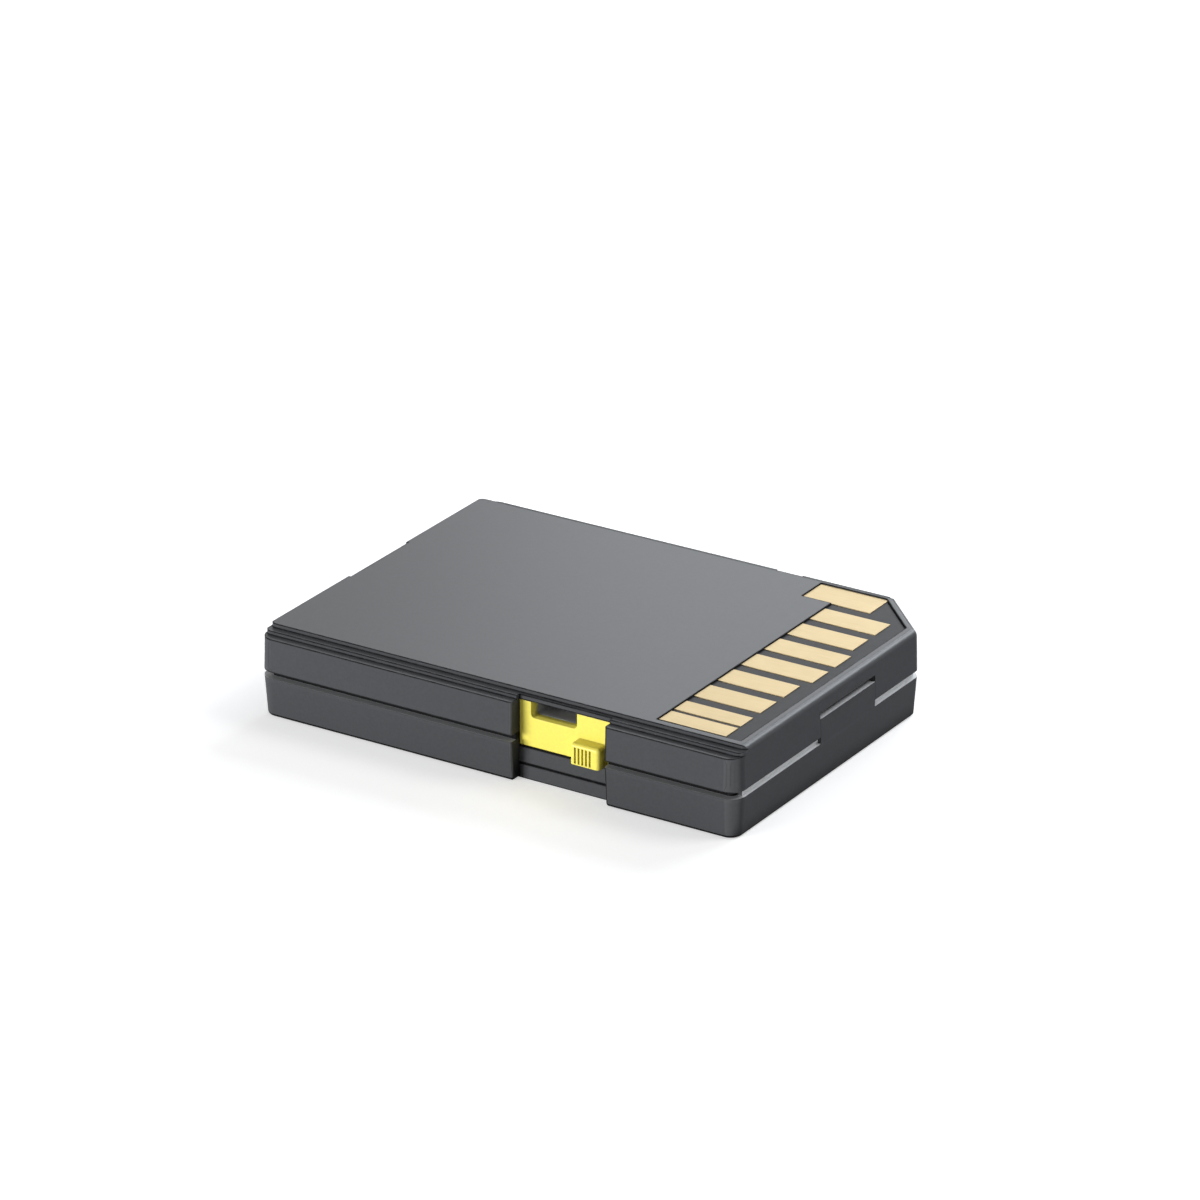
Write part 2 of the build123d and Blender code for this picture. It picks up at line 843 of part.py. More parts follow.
# Small parts on top of the board
with BuildPart() as controller_chip:
    with Locations((card_rear + chip_place[0], chip_place[1], board_top + chip_height / 2)):
        Box(chip_size, chip_size, chip_height)
    chamfer(controller_chip.faces().sort_by(Axis.Z)[-1].edges(), chip_bevel)
    dot_reach = chip_size / 2 - chip_dot_inset
    dot_place = (card_rear + chip_place[0] - dot_reach, chip_place[1] + dot_reach)
    chip_top = board_top + chip_height
    post(dot_place, chip_top - chip_dot_depth, chip_top + over, chip_dot_radius, Mode.SUBTRACT)
save(controller_chip.part, "controller_chip")

with BuildPart() as memory_chip:
    with Locations((card_rear + memory_place[0], memory_place[1], board_top + memory_height / 2)):
        Box(memory_length, memory_width, memory_height)
    chamfer(memory_chip.faces().sort_by(Axis.Z)[-1].edges(), chip_bevel)
save(memory_chip.part, "memory_chip")

with BuildPart() as crystal:
    with BuildSketch(Plane.XY.offset(board_top)):
        with Locations((card_rear + crystal_place[0], crystal_place[1])):
            RectangleRounded(crystal_length, crystal_width, crystal_radius)
    extrude(amount=crystal_height)
save(crystal.part, "crystal")

with BuildPart() as capacitors:
    with Locations((card_rear + capacitor_row[0], capacitor_row[1], board_top + capacitor_height / 2)):
        with GridLocations(small_part_pitch, 1, small_part_count, 1):
            Box(capacitor_length, capacitor_width, capacitor_height)
save(capacitors.part, "capacitors")

with BuildPart() as resistors:
    with Locations((card_rear + resistor_row[0], resistor_row[1], board_top + resistor_height / 2)):
        with GridLocations(small_part_pitch, 1, small_part_count, 1):
            Box(resistor_length, resistor_width, resistor_height)
save(resistors.part, "resistors")
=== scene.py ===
"""Looks of a memory card reader: finishes for its solids, a plain stage and the photograph's camera."""

import math
from typing import NamedTuple

import bmesh
import bpy
from bpy.props import FloatProperty, FloatVectorProperty, PointerProperty
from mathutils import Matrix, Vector


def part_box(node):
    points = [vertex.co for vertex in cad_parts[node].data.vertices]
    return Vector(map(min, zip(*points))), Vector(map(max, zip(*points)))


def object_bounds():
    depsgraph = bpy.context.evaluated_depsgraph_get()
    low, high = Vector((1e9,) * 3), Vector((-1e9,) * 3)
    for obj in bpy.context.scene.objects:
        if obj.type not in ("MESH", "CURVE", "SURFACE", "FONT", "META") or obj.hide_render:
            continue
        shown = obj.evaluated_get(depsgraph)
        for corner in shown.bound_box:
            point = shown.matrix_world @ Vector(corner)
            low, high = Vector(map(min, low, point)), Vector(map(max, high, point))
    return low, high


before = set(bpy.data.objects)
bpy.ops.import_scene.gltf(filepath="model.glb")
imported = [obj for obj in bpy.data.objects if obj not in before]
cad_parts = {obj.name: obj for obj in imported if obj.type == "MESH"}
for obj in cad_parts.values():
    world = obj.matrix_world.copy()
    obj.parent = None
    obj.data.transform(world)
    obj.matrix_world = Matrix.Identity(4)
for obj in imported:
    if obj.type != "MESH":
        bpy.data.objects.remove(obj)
cad_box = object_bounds()

bl_info = {
    "name": "Card reader looks",
    "version": (1, 0, 0),
    "blender": (4, 5, 0),
    "location": "View3D > Sidebar > Card reader",
    "description": "Finishes, stage and camera for a memory card reader",
    "category": "Object",
}

MILLIMETRE = 0.001
WHITE = (1.0, 1.0, 1.0)

# Where the finishes, and the painted light and shade, change on the solids
CONTACT_END = cad_box[1][0]
FAR_SIDE = cad_box[1][1]
NEAR_SIDE = cad_box[0][1]
KEY_CORNER = 10.05 * MILLIMETRE
NEAR_CORNER = 2.2 * MILLIMETRE
RIM_LEVEL = 5.85 * MILLIMETRE
RIM_DEPTH = 2.0 * MILLIMETRE
RIM_DEPTH_AT_CUT = 2.5 * MILLIMETRE
RIM_FADE = 0.5 * MILLIMETRE
LIP_SETBACK = 0.4 * MILLIMETRE
CHIP_LENGTH = 1.6 * MILLIMETRE
CHIP_PITCH = 3.0 * MILLIMETRE
TINNED_END = 0.3 * MILLIMETRE
TONGUE_TIP = 0.1 * MILLIMETRE

# Noise seldom leaves this range, so it is drawn out from it
NOISE_LOW = 0.3
NOISE_HIGH = 0.7

# Moulded plastic: waves are per metre, a painted dark line on edges starts and is full at cosines between two
# normals, and open and shut are shares of the surroundings that a crevice sees, between which its shade is
# painted
PATCH_WAVES = 900.0
PATCH_GLOSS = 0.03
MOTTLE_WAVES = 2200.0
MOTTLE = 0.04
GRAIN_STRENGTH = 0.5
ROUNDING_SAMPLES = 6
LINE_SAMPLES = 8
LINE_STARTS = 0.9995
LINE_FULL = 0.97
LINE_WAVES = 700.0
LINE_FAINTEST = 0.75
# The crevice and recess values shape painted shade, taken from ambient occlusion
CREVICE_SAMPLES = 6
CREVICE_OPEN = 0.55
CREVICE_SHUT = 0.2
CREVICE_POWER = 2.0
CREVICE_ON_WALLS = 0.35
RECESS_REACH = 4.0 * MILLIMETRE
RECESS_OPEN = 0.9
RECESS_SHUT = 0.45
# How much of its colour the plastic keeps under painted shade, by default
PLAIN_EDGE_TINT = 0.7
INLAY_SATIN = 0.3

# Metal, board and small parts
BLOOM_TINT = 0.95
MARK_STRETCH = (0.06, 1.0, 1.0)
MARK_GLOSS = 0.05
MARK_DEPTH = 0.001 * MILLIMETRE
MARK_STRENGTH = 0.2
TRACE_CELL_LENGTH = 3.1 * MILLIMETRE
TRACE_CELL_WIDTH = 0.6 * MILLIMETRE
TRACE_MARGIN = 0.12 * MILLIMETRE
TRACE_TINT = 0.92
BOARD_WAVES = 500.0
BOARD_ROUGHNESS = (0.28, 0.4)
SPECKLE_WAVES = 3000.0
SPECKLE_TINT = 0.85
CHIP_ROUGHNESS = (0.35, 0.5)
SMALL_EDGE = 0.5

# Stage, in metres
FLOOR_REACH = 6.0
FLOOR_DROP = 0.05 * MILLIMETRE
BODY_MIDDLE = (0.0, 0.0, 0.005)
BODY_TOP = (0.0, 0.0, 0.012)
KEY_PLACE = (-0.48, -0.78, 0.11)
KEY_SIZE = (0.5, 0.2)
SIDE_PLACE = (0.45, 0.25, 0.62)
SIDE_SIZE = (0.3, 0.3)
RIM_PLACE = (0.1, 0.6, 0.4)
RIM_SIZE = (0.45, 0.3)
BACK_PLACE = (-0.11, 0.5, 0.23)
BACK_SIZE = (0.43, 0.22)

# Camera: its sensor in millimetres, the range that it sees in metres
SENSOR_WIDTH = 36.0
NEAREST_SEEN = 0.05
FARTHEST_SEEN = 50.0


def colour_property(name, description, default):
    """A colour that a user can change."""
    return FloatVectorProperty(
        name=name, description=description, default=default, size=3, min=0.0, max=1.0, subtype="COLOR"
    )


def length_property(name, description, default):
    """A length that a user can change, in metres."""
    return FloatProperty(
        name=name, description=description, default=default, min=0.0, unit="LENGTH", precision=6
    )


def share_property(name, description, default):
    """A share between nought and one that a user can change."""
    return FloatProperty(
        name=name, description=description, default=default, min=0.0, max=1.0, subtype="FACTOR"
    )


def power_property(name, description, default):
    """A lamp's power that a user can change, in watts."""
    return FloatProperty(name=name, description=description, default=default, min=0.0, unit="POWER")


def angle_property(name, description, degrees):
    """An angle that a user can change, given in degrees."""
    default = math.radians(degrees)
    return FloatProperty(name=name, description=description, default=default, subtype="ANGLE")


class CaseLook(bpy.types.PropertyGroup):
    """Finish of the two case halves and of the inlay under the contacts"""

    plastic: colour_property("Plastic", "Colour of the moulded case", (0.068, 0.07, 0.075))
    # The rim colours are painted light in the seam; the end one is brighter where light falls at the contact
    # end
    rim: colour_property("Rim", "Colour of the pale rim that shows in the seam", (0.4, 0.41, 0.42))
    end_rim_painted_light: colour_property("End rim", "Colour of that rim at the contact end", (0.82, 0.83, 0.84))
    inlay: colour_property("Inlay", "Colour of the inlay under the contacts", (0.05, 0.05, 0.053))
    roughness: share_property("Roughness", "Roughness of the moulded case", 0.45)
    gloss: share_property("Gloss", "Reflection of the side walls", 0.03)
    satin: share_property("Satin", "Smooth skin on the level faces and rubbed edges", 0.7)
    satin_roughness: share_property("Satin roughness", "Roughness of that skin", 0.3)
    # How dark the painted shade on edges and in crevices is
    edge_tint: share_property("Edge tint", "What the colour keeps on edges and in crevices", 0.12)
    grain: length_property("Grain", "Size of the moulded grain", 0.18 * MILLIMETRE)
    grain_depth: length_property("Grain depth", "Depth of the moulded grain", 0.004 * MILLIMETRE)
    soft_edge: length_property("Soft edge", "Reach of the rounding on edges", 0.15 * MILLIMETRE)
    # Reach of the painted dark line on edges
    edge_line: length_property("Edge line", "Reach of the dark line on edges", 0.3 * MILLIMETRE)
    # Reach of the painted shade in corners and gaps
    crevice: length_property("Crevice", "Reach of the dark in corners and gaps", 0.3 * MILLIMETRE)


class BezelLook(bpy.types.PropertyGroup):
    """Finish of the yellow bezel and slider"""

    plastic: colour_property("Plastic", "Colour of the bezel and the slider", (0.845, 0.74, 0.107))
    roughness: share_property("Roughness", "Roughness of the bezel and the slider", 0.42)
    # How dark the painted shade in crevices is
    edge_tint: share_property("Edge tint", "What the colour keeps in crevices", 0.5)
    # Painted shade on the slider's top and other ledges inside the notch
    ledge_shade: share_property("Ledge shade", "Dark on what looks up inside the notch", 0.5)
    grain: length_property("Grain", "Size of the moulded grain", 0.14 * MILLIMETRE)
    grain_depth: length_property("Grain depth", "Depth of the moulded grain", 0.002 * MILLIMETRE)
    # Reach of the painted shade beside the notch walls
    crevice: length_property("Crevice", "Reach of the dark in corners and gaps", 1.6 * MILLIMETRE)


class MetalLook(bpy.types.PropertyGroup):
    """Finish of the plated pads and contacts, and of the sheet metal"""

    gold: colour_property("Gold", "Colour of the plated pads", (0.52, 0.41, 0.232))
    gold_roughness: share_property("Gold roughness", "Roughness of the plated pads", 0.44)
    steel: colour_property("Steel", "Colour of the folded sheet", (0.72, 0.73, 0.74))
    steel_roughness: share_property("Steel roughness", "Roughness of the folded sheet", 0.5)
    bloom: length_property("Bloom", "Size of the faint patches in the metal's colour", 3.0 * MILLIMETRE)
    marks: length_property("Marks", "Breadth of the fine sliding marks", 0.2 * MILLIMETRE)


class BoardLook(bpy.types.PropertyGroup):
    """Finish of the circuit board and of what is soldered to it"""

    mask: colour_property("Solder mask", "Colour of the board over bare laminate", (0.02, 0.13, 0.05))
    trace: colour_property("Traces", "Colour of the board over copper", (0.045, 0.22, 0.09))
    resin: colour_property("Resin", "Colour of the chips", (0.022, 0.022, 0.024))
    resin_roughness: share_property("Resin roughness", "Roughness of the chips", 0.55)
    black: colour_property("Black plastic", "Colour of the socket frames", (0.035, 0.035, 0.037))
    black_roughness: share_property("Black roughness", "Roughness of the socket frames", 0.5)
    # A painted highlight on the end of the USB tongue, where light catches it
    tongue_tip_highlight: colour_property("Tongue tip", "Colour of the end of the USB tongue", (0.36, 0.36, 0.37))
    white: colour_property("White plastic", "Colour of the switch lever", (0.72, 0.72, 0.7))
    white_roughness: share_property("White roughness", "Roughness of the switch lever", 0.45)
    tan: colour_property("Tan ceramic", "Colour of the capacitors", (0.42, 0.3, 0.18))
    tin: colour_property("Tin", "Colour of soldered ends", (0.62, 0.62, 0.63))


class StageLook(bpy.types.PropertyGroup):
    """Floor, lamps and camera"""

    floor: colour_property("Floor", "Colour of the floor", (0.93, 0.93, 0.93))
    lift: share_property("Floor lift", "What the floor adds to its lit colour where it is seen itself", 0.49)
    sky: share_property("Sky", "Strength of the even light", 0.17)
    key: power_property("Key lamp", "Power of the lamp in front", 9.3)
    side: power_property("Side lamp", "Power of the lamp at the right", 1.5)
    rim: power_property("Rim lamp", "Power of the lamp high behind", 2.75)
    back: power_property("Back lamp", "Power of the lamp behind", 0.425)
    cool: colour_property("Cool light", "Colour of the two lamps behind", (0.88, 0.935, 1.0))
    lens: FloatProperty(
        name="Lens", description="Focal length on a 36 mm sensor", default=194.03, subtype="DISTANCE_CAMERA"
    )
    azimuth: angle_property("Azimuth", "How far round to the right the camera stands", 32.2782)
    elevation: angle_property("Elevation", "How far down the camera looks", 23.4407)
    place: FloatVectorProperty(
        name="Place",
        description="Where the camera stands",
        default=(0.431165, -0.684558, 0.366061),
        size=3,
        subtype="TRANSLATION",
    )


class ReaderLook(bpy.types.PropertyGroup):
    """All the values of the card reader's looks"""

    case: PointerProperty(type=CaseLook)
    bezel: PointerProperty(type=BezelLook)
    metal: PointerProperty(type=MetalLook)
    board: PointerProperty(type=BoardLook)
    stage: PointerProperty(type=StageLook)


class Surface(NamedTuple):
    """How a moulded plastic is finished; lengths are in metres. crevice, edge_line and edge_tint set its
    painted shade.
    """

    roughness: float
    grain: float
    grain_depth: float
    soft_edge: float
    edge_line: float
    crevice: float
    edge_tint: float = PLAIN_EDGE_TINT


def new_material(name):
    """A node material with its shader, and handles to both."""
    material = bpy.data.materials.new(name)
    material.use_nodes = True
    tree = material.node_tree
    return material, tree, tree.nodes["Principled BSDF"]


def dress(material, *nodes):
    """Give CAD nodes one material, in place of their own."""
    for name in nodes:
        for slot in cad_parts[name].material_slots:
            slot.material = material


def full_colour(colour):
    """A colour with its alpha, as a colour socket takes it."""
    return (colour[0], colour[1], colour[2], 1.0)


def tinted(colour, share):
    """A colour made darker, or lighter where the share is over one."""
    return [min(channel * share, 1.0) for channel in colour]


def node_group(name, inputs, outputs):
    """An empty shader group with named sockets, and its two ends."""
    group = bpy.data.node_groups.new(name, "ShaderNodeTree")
    for socket_name, socket_type in inputs:
        group.interface.new_socket(name=socket_name, in_out="INPUT", socket_type=socket_type)
    for socket_name, socket_type in outputs:
        group.interface.new_socket(name=socket_name, in_out="OUTPUT", socket_type=socket_type)
    return group, group.nodes.new("NodeGroupInput"), group.nodes.new("NodeGroupOutput")


def place_group(tree, name, values):
    """A shared group in a material, with the material's own values."""
    node = tree.nodes.new("ShaderNodeGroup")
    node.node_tree = bpy.data.node_groups[name]
    for socket_name, value in values.items():
        node.inputs[socket_name].default_value = value
    return node


def math_node(tree, operation, first, second=None, third=None):
    """A math node between sockets or numbers; gives its output."""
    node = tree.nodes.new("ShaderNodeMath")
    node.operation = operation
    for socket, value in zip(node.inputs, (first, second, third)):
        if isinstance(value, bpy.types.NodeSocket):
            tree.links.new(value, socket)
        elif value is not None:
            socket.default_value = value
    return node.outputs[0]


def product(tree, first, *others):
    """Masks multiplied together."""
    for other in others:
        first = math_node(tree, "MULTIPLY", first, other)
    return first


def largest(tree, first, *others):
    """The largest of several masks."""
    for other in others:
        first = math_node(tree, "MAXIMUM", first, other)
    return first


def mix_colours(tree, share, first, second):
    """A mix, by a mask, between two colours or colour sockets; gives its output."""
    node = tree.nodes.new("ShaderNodeMix")
    node.data_type = "RGBA"
    factor, first_socket, second_socket = node.inputs[0], node.inputs[6], node.inputs[7]
    tree.links.new(share, factor)
    for socket, value in ((first_socket, first), (second_socket, second)):
        if isinstance(value, bpy.types.NodeSocket):
            tree.links.new(value, socket)
        else:
            socket.default_value = full_colour(value)
    return node.outputs[2]


def span(tree, value, low, high, to_low=0.0, to_high=1.0):
    """A value carried from one range to another and held inside it."""
    node = tree.nodes.new("ShaderNodeMapRange")
    tree.links.new(value, node.inputs["Value"])
    node.inputs["From Min"].default_value = low
    node.inputs["From Max"].default_value = high
    node.inputs["To Min"].default_value = to_low
    node.inputs["To Max"].default_value = to_high
    return node.outputs[0]


def object_place(tree):
    """The place on the piece, as a vector."""
    return tree.nodes.new("ShaderNodeTexCoord").outputs["Object"]


def axes(tree, kind):
    """X, Y and Z of the place on the piece (Object), or of the way that its surface looks (Normal)."""
    apart = tree.nodes.new("ShaderNodeSeparateXYZ")
    tree.links.new(tree.nodes.new("ShaderNodeTexCoord").outputs[kind], apart.inputs[0])
    return apart.outputs


def noise(tree, place, waves, detail=2.0):
    """Noise over a place, in waves per metre."""
    node = tree.nodes.new("ShaderNodeTexNoise")
    tree.links.new(place, node.inputs["Vector"])
    if isinstance(waves, bpy.types.NodeSocket):
        tree.links.new(waves, node.inputs["Scale"])
    else:
        node.inputs["Scale"].default_value = waves
    node.inputs["Detail"].default_value = detail
    return node.outputs["Fac"]


def drawn_out(tree, value, low=0.0, high=1.0):
    """Noise drawn out to fill a range."""
    return span(tree, value, NOISE_LOW, NOISE_HIGH, low, high)


def bump_shader(tree, shader, height, strength, distance, normal=None):
    """Give a shader a bumped normal, on top of another normal where one is given."""
    bump = tree.nodes.new("ShaderNodeBump")
    bump.inputs["Strength"].default_value = strength
    bump.inputs["Distance"].default_value = distance
    tree.links.new(height, bump.inputs["Height"])
    if normal is not None:
        tree.links.new(normal, bump.inputs["Normal"])
    tree.links.new(bump.outputs["Normal"], shader.inputs["Normal"])


def make_grain_group():
    """Moulded plastic: a fine grain for bump, patches for roughness, and a faint mottle for colour."""
    group, ends_in, ends_out = node_group(
        "Moulded grain",
        [("Waves", "NodeSocketFloat")],
        [("Height", "NodeSocketFloat"), ("Gloss change", "NodeSocketFloat"), ("Mottle", "NodeSocketFloat")],
    )
    place = object_place(group)
    fine = noise(group, place, ends_in.outputs["Waves"], 3.0)
    group.links.new(fine, ends_out.inputs["Height"])
    patches = noise(group, place, PATCH_WAVES, 4.0)
    gloss_change = drawn_out(group, patches, -PATCH_GLOSS, PATCH_GLOSS)
    group.links.new(gloss_change, ends_out.inputs["Gloss change"])
    clouds = noise(group, place, MOTTLE_WAVES, 3.0)
    group.links.new(drawn_out(group, clouds), ends_out.inputs["Mottle"])


def make_edge_group():
    """Edges: a normal that rounds them, and masks for painted shade: on sharp edges, on long rounded ones and
    on undersides.
    """
    group, ends_in, ends_out = node_group(
        "Soft edges",
        [("Reach", "NodeSocketFloat"), ("Line reach", "NodeSocketFloat")],
        [("Normal", "NodeSocketVector"), ("Line", "NodeSocketFloat"), ("Long edge", "NodeSocketFloat")],
    )
    rounding = group.nodes.new("ShaderNodeBevel")
    rounding.samples = ROUNDING_SAMPLES
    group.links.new(ends_in.outputs["Reach"], rounding.inputs["Radius"])
    group.links.new(rounding.outputs["Normal"], ends_out.inputs["Normal"])

    # A painted dark line, in place of the shade and dark reflection on an edge, lies where the wide rounding
    # turns the normal away from the flat one, and not on the end walls; noise breaks it up
    wide = group.nodes.new("ShaderNodeBevel")
    wide.samples = LINE_SAMPLES
    group.links.new(ends_in.outputs["Line reach"], wide.inputs["Radius"])
    agreement = group.nodes.new("ShaderNodeVectorMath")
    agreement.operation = "DOT_PRODUCT"
    group.links.new(wide.outputs["Normal"], agreement.inputs[0])
    flat = group.nodes.new("ShaderNodeNewGeometry").outputs["True Normal"]
    group.links.new(flat, agreement.inputs[1])
    turned = span(group, agreement.outputs["Value"], LINE_STARTS, LINE_FULL)
    line_breakup = noise(group, object_place(group), LINE_WAVES, 4.0)
    uneven = span(group, line_breakup, NOISE_LOW, 0.6, LINE_FAINTEST, 1.0)
    facing = axes(group, "Normal")
    endways = math_node(group, "ABSOLUTE", facing["X"])
    off_ends = span(group, endways, 0.8, 0.5)
    group.links.new(product(group, turned, uneven, off_ends), ends_out.inputs["Line"])

    # Rounded edges along the length are sloped, and get painted shade in place of a dark reflection. The one
    # at the foot is told by its looking down, as the whole underside does, so the underside counts with it
    # and takes the painted shadow too
    steep = math_node(group, "ABSOLUTE", facing["Z"])
    sloped = product(group, span(group, steep, 0.15, 0.35), span(group, steep, 0.97, 0.9))
    along = span(group, endways, 0.5, 0.2)
    looks_down = span(group, facing["Z"], -0.065, -0.13)
    long_edge = largest(group, product(group, sloped, along), looks_down)
    group.links.new(long_edge, ends_out.inputs["Long edge"])


def make_painted_shade_group():
    """Corners and gaps: a mask of painted shade where little light gets in."""
    group, ends_in, ends_out = node_group(
        "Painted crevice shade",
        [("Reach", "NodeSocketFloat"), ("Open", "NodeSocketFloat"), ("Shut", "NodeSocketFloat")],
        [("Shade", "NodeSocketFloat")],
    )
    shelter = group.nodes.new("ShaderNodeAmbientOcclusion")
    shelter.samples = CREVICE_SAMPLES
    group.links.new(ends_in.outputs["Reach"], shelter.inputs["Distance"])
    shade = group.nodes.new("ShaderNodeMapRange")
    group.links.new(shelter.outputs["AO"], shade.inputs["Value"])
    group.links.new(ends_in.outputs["Open"], shade.inputs["From Min"])
    group.links.new(ends_in.outputs["Shut"], shade.inputs["From Max"])
    deepened = math_node(group, "POWER", shade.outputs[0], CREVICE_POWER)
    group.links.new(deepened, ends_out.inputs["Shade"])


def painted_crevice_shade(tree, reach):
    """Painted shade in corners and narrow gaps."""
    values = {"Reach": reach, "Open": CREVICE_OPEN, "Shut": CREVICE_SHUT}
    return place_group(tree, "Painted crevice shade", values).outputs["Shade"]


def painted_recess_shade(tree):
    """Painted shade that deepens slowly towards the inside of a recess as large as the lock notch."""
    values = {"Reach": RECESS_REACH, "Open": RECESS_OPEN, "Shut": RECESS_SHUT}
    return place_group(tree, "Painted crevice shade", values).outputs["Shade"]


# The limits in the masks below are parts of a unit normal, or lengths in metres
def level_mask(tree):
    """One on faces that look up, nought on upright walls."""
    return span(tree, axes(tree, "Normal")["Z"], 0.2, 0.8)


def end_mask(tree):
    """One on upright faces that look along the length, as the walls of the lock notch do; the recess's shade
    is painted there.
    """
    return span(tree, math_node(tree, "ABSOLUTE", axes(tree, "Normal")["X"]), 0.5, 0.8)


def corner_mask(tree):
    """One on the rounded upright corners of the contact end, nought on the flat walls."""
    facing = axes(tree, "Normal")
    endways = span(tree, facing["X"], 0.08, 0.2)
    sideways = span(tree, math_node(tree, "ABSOLUTE", facing["Y"]), 0.3, 0.6)
    return product(tree, endways, sideways)


def notch_edge_mask(tree):
    """One on the rounded upright edge where the near wall turns into the right of the lock notch, for a
    painted dark line.
    """
    facing = axes(tree, "Normal")
    turned = span(tree, facing["X"], -0.1, -0.3)
    nearward = span(tree, facing["Y"], -0.05, -0.2)
    past_middle = span(tree, axes(tree, "Object")["X"], 0.0, MILLIMETRE)
    return product(tree, turned, nearward, past_middle)


def away_from_rim(tree):
    """Nought at the level of the pale rim's edge, one above and below it."""
    lift = math_node(tree, "SUBTRACT", axes(tree, "Object")["Z"], RIM_LEVEL)
    return span(tree, math_node(tree, "ABSOLUTE", lift), 0.3 * MILLIMETRE, 0.6 * MILLIMETRE)


def contact_end_mask(tree, place):
    """One beside the contact end and the cut corner, from the near corner's rounding on."""
    end_from = CONTACT_END - RIM_DEPTH
    beside_end = span(tree, place["X"], end_from, end_from + RIM_FADE)
    cut_from = CONTACT_END + FAR_SIDE - KEY_CORNER - RIM_DEPTH_AT_CUT
    across = math_node(tree, "ADD", place["X"], place["Y"])
    beside_cut = span(tree, across, cut_from, cut_from + RIM_FADE)
    corner_to = NEAR_SIDE + NEAR_CORNER
    past_corner = span(tree, place["Y"], corner_to - 0.3 * MILLIMETRE, corner_to)
    return product(tree, largest(tree, beside_end, beside_cut), past_corner)


def painted_rim_masks(tree):
    """Painted light on the pale rim in the lower half's seam, brighter at the contact end, and painted shade
    on the seam's wall along the sides.
    """
    place = axes(tree, "Object")
    facing = axes(tree, "Normal")
    high = span(tree, place["Z"], RIM_LEVEL - 0.03 * MILLIMETRE, RIM_LEVEL - 0.01 * MILLIMETRE)
    level = span(tree, facing["Z"], 0.85, 0.95)
    upright = span(tree, facing["Z"], 0.3, 0.2)
    endways = span(tree, facing["X"], 0.3, 0.5)
    at_end = contact_end_mask(tree, place)
    lip_to = CONTACT_END - LIP_SETBACK
    set_back = span(tree, place["X"], lip_to + 0.1 * MILLIMETRE, lip_to)
    lip = product(tree, endways, at_end, set_back)
    pale = product(tree, high, largest(tree, level, lip))
    off_end = span(tree, at_end, 1.0, 0.9)
    return pale, at_end, product(tree, high, off_end, upright)


def lay_satin(tree, shader, satin, skin, dark):
    """A smooth skin on level faces and rounded corners, left out where shade is painted on the plastic."""
    weight, roughness, gloss = satin
    bare = math_node(tree, "SUBTRACT", 1.0, dark)
    rubbed = largest(tree, skin, corner_mask(tree))
    tree.links.new(product(tree, rubbed, bare, weight), shader.inputs["Coat Weight"])
    shader.inputs["Coat Roughness"].default_value = roughness
    shader.inputs["Specular IOR Level"].default_value = gloss


def moulded(name, colour, surface, rim=None, satin=None, ledge_shade=0.0):
    """Moulded plastic with grain and mottle, and painted shade in crevices.

    rim holds the colours of the pale rim in the seam, along the sides and at the contact end, which are
    painted light.
    satin holds the weight and the roughness of a smooth skin and the gloss under it, and it also
    brings painted dark lines along the edges and painted shade on the notch walls. ledge_shade paints shade
    on what looks up inside a recess.
    """
    material, tree, shader = new_material(name)
    grain = place_group(tree, "Moulded grain", {"Waves": 1.0 / surface.grain})
    edge_values = {"Reach": surface.soft_edge, "Line reach": surface.edge_line}
    edges = place_group(tree, "Soft edges", edge_values)
    edged = tinted(colour, surface.edge_tint)
    darker = tinted(colour, 1.0 - MOTTLE)
    lighter = tinted(colour, 1.0 + MOTTLE)
    body = mix_colours(tree, grain.outputs["Mottle"], darker, lighter)

    # Painted shade in corners and gaps, and on ledges inside a recess
    dark = painted_crevice_shade(tree, surface.crevice)
    if ledge_shade > 0.0:
        ledges = span(tree, level_mask(tree), 0.0, 1.0, 0.0, ledge_shade)
        dark = largest(tree, dark, product(tree, painted_recess_shade(tree), ledges))
    # Painted dark lines on edges, and painted shade on the notch's right edge and on the notch walls
    if satin is not None:
        skin = level_mask(tree)
        lines = largest(tree, edges.outputs["Line"], edges.outputs["Long edge"])
        if rim is not None:
            lines = product(tree, lines, away_from_rim(tree))
        on_level = product(tree, dark, span(tree, skin, 0.0, 1.0, CREVICE_ON_WALLS, 1.0))
        on_ends = product(tree, painted_recess_shade(tree), end_mask(tree))
        dark = largest(tree, lines, notch_edge_mask(tree), on_level, on_ends)
        lay_satin(tree, shader, satin, skin, dark)
    # The painted shade darkens the colour towards the edge tint
    body = mix_colours(tree, dark, body, edged)
    # The pale rim is painted light, brighter at the contact end, and the seam's wall along the sides gets
    # painted shade
    if rim is not None:
        side_rim_painted_light, end_rim_painted_light = rim
        pale, at_end, behind = painted_rim_masks(tree)
        body = mix_colours(tree, pale, body, mix_colours(tree, at_end, side_rim_painted_light, end_rim_painted_light))
        body = mix_colours(tree, behind, body, edged)
    tree.links.new(body, shader.inputs["Base Color"])

    roughness = math_node(tree, "ADD", grain.outputs["Gloss change"], surface.roughness)
    tree.links.new(roughness, shader.inputs["Roughness"])
    height = grain.outputs["Height"]
    bump_shader(tree, shader, height, GRAIN_STRENGTH, surface.grain_depth, edges.outputs["Normal"])
    return material


